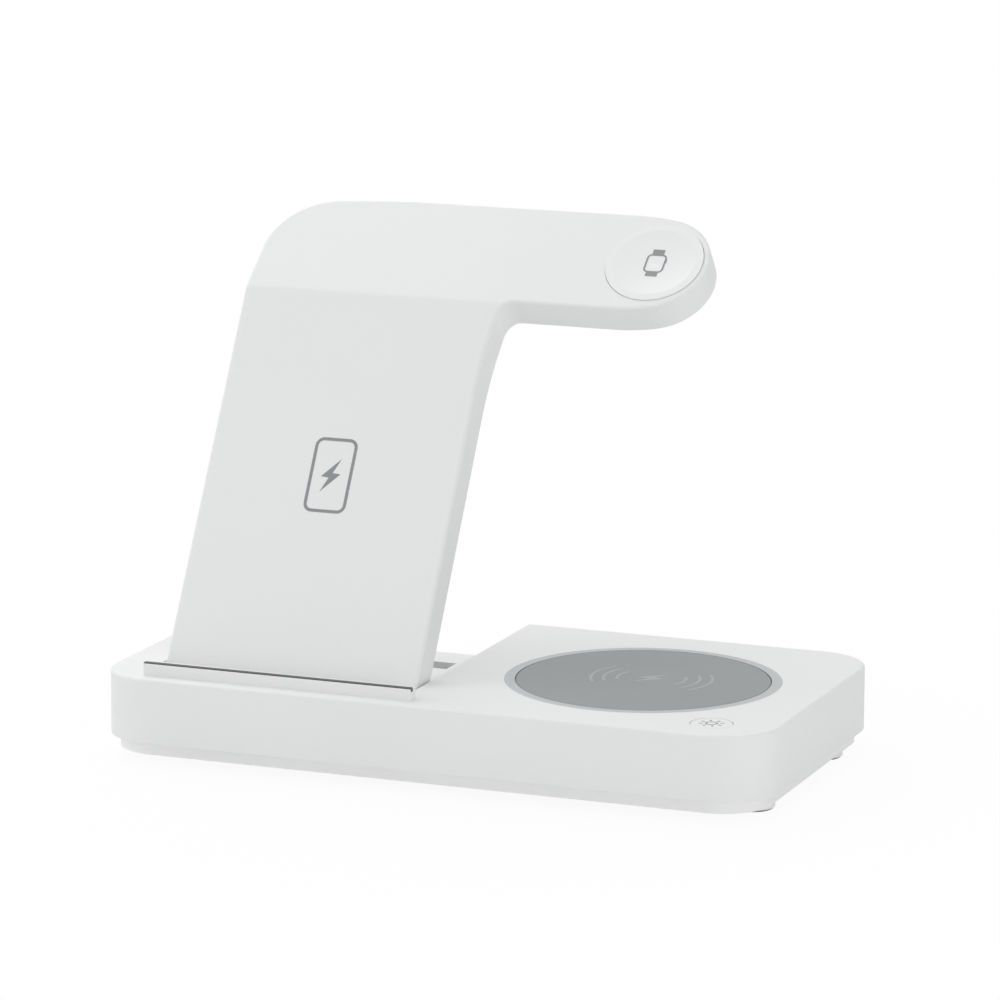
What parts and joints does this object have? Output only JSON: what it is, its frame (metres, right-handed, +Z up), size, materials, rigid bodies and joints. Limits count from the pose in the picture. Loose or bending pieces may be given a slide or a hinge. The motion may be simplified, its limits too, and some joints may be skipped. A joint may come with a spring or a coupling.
{
  "type": "wireless charging dock",
  "caption": "Low charging base with a round pad, light ring and light button, and a leaning phone column that folds back on a hinge; its bent top panel carries a watch puck on an arm.",
  "frame": {"origin": "on the table under the middle of the base's footprint", "axes": "+Z up, +X to the right seen from the front, +Y to the back, where the recess is open"},
  "size_m": [0.19, 0.1073, 0.1414],
  "materials": {
    "white_housing": "fine satin moulded white",
    "white_cover": "fine satin moulded white",
    "white_button": "satin white",
    "white_puck": "polished white",
    "grey_pad": "matt soft-touch grey",
    "clear_ring": "frosted translucent",
    "grey_silicone": "matt silicone",
    "foot_rubber": "matt rubber",
    "steel": "plain steel",
    "brass_bush": "turned brass",
    "copper_coil": null,
    "ferrite": "dull black ferrite",
    "circuit_board": "green solder mask",
    "black_component": "moulded black",
    "lamp_white": "small lamp body",
    "nickel_magnet": "nickel-plated magnet"
  },
  "bodies": {
    "base": {"base_shell": "white_housing", "ledge_strip": "grey_silicone", "bottom_cover": "white_cover", "rubber_feet": "foot_rubber", "cover_screws": "steel", "charging_pad": "grey_pad", "pad_light_ring": "clear_ring", "ring_led_board": "circuit_board", "ring_leds": "lamp_white", "pad_coil": "copper_coil", "pad_ferrite": "ferrite", "button_switch": "black_component", "main_board": "circuit_board", "main_board_screws": "steel", "control_chips": "black_component", "power_inductors": "ferrite", "usb_socket_shell": "steel", "usb_socket_tongue": "black_component", "hinge_bushes": "brass_bush"},
    "column": {"column_front_shell": "white_housing", "column_back_cover": "white_cover", "hinge_pins": "steel", "friction_washers": "black_component", "hinge_nuts": "steel", "lower_phone_coil": "copper_coil", "upper_phone_coil": "copper_coil", "phone_ferrite": "ferrite", "column_board": "circuit_board", "column_board_screws": "steel", "column_chips": "black_component", "watch_puck": "white_puck", "watch_coil": "copper_coil", "watch_magnet": "nickel_magnet", "watch_ferrite": "ferrite", "watch_board": "circuit_board"},
    "button": {"light_button": "white_button", "switch_plunger": "black_component"}
  },
  "joints": [
    {"name": "column_fold", "type": "hinge", "parent": "base", "child": "column", "pos_m": [0, -0.0286, 0.0184], "axis": [-1, 0, 0], "range_deg": [0, 60.4]},
    {"name": "light_button_press", "type": "slide", "parent": "base", "child": "button", "axis": [0, 0, -1], "range_m": [0, 0.0005], "stiffness_N_per_m": 2000}
  ]
}
